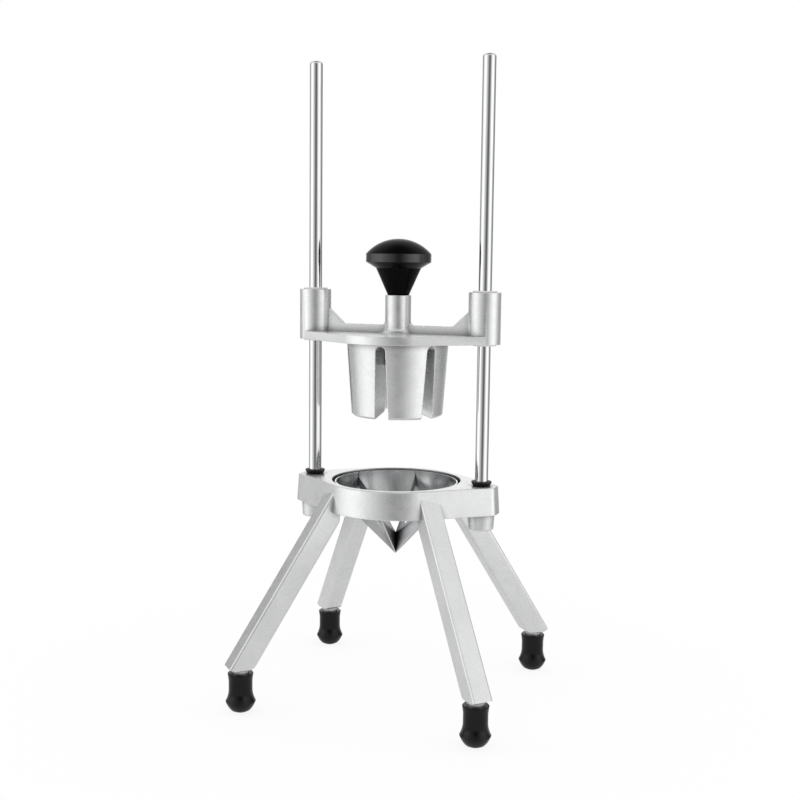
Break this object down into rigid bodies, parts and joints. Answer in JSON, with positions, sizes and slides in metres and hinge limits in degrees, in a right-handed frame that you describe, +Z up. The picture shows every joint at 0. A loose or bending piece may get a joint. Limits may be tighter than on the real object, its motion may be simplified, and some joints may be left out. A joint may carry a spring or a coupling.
{
  "type": "fruit wedger press",
  "caption": "Hand press on splayed legs: a knobbed head slides on upright rods and its fingers push a round fruit down through a ring of sloping radial blades.",
  "frame": {"origin": "on the table, under the middle of the blade ring, at the feet's lowest level", "axes": "+Z up along the guide rods, X along the line of the two rods, -Y towards the front"},
  "size_m": [0.2076, 0.197, 0.4875],
  "materials": {
    "cast_aluminium": "satin tumbled casting",
    "rod_steel": "polished",
    "blade_steel": "fine ground",
    "screw_steel": "plain",
    "foot_rubber": "satin moulded",
    "bumper_rubber": "matt",
    "nylon": "smooth",
    "knob_plastic": "semi-gloss moulded"
  },
  "bodies": {
    "stand": {"base_frame": "cast_aluminium", "foot_front_left": "foot_rubber", "foot_front_right": "foot_rubber", "foot_rear_left": "foot_rubber", "foot_rear_right": "foot_rubber", "guide_rod_left": "rod_steel", "guide_rod_right": "rod_steel", "rod_bumper_left": "bumper_rubber", "rod_bumper_right": "bumper_rubber", "rod_screws": "screw_steel", "blade_ring": "blade_steel", "blade_1": "blade_steel", "blade_2": "blade_steel", "blade_3": "blade_steel", "blade_4": "blade_steel", "blade_5": "blade_steel", "blade_6": "blade_steel", "blade_screws": "screw_steel"},
    "press": {"press_head": "cast_aluminium", "bushing_upper_left": "nylon", "bushing_upper_right": "nylon", "bushing_lower_left": "nylon", "bushing_lower_right": "nylon", "pusher_block": "cast_aluminium", "pusher_screws": "screw_steel", "knob": "knob_plastic", "knob_stud": "screw_steel"}
  },
  "joints": [
    {"name": "press_slide", "type": "slide", "parent": "stand", "child": "press", "axis": [0, 0, 1], "range_m": [-0.1027, 0.169]}
  ]
}
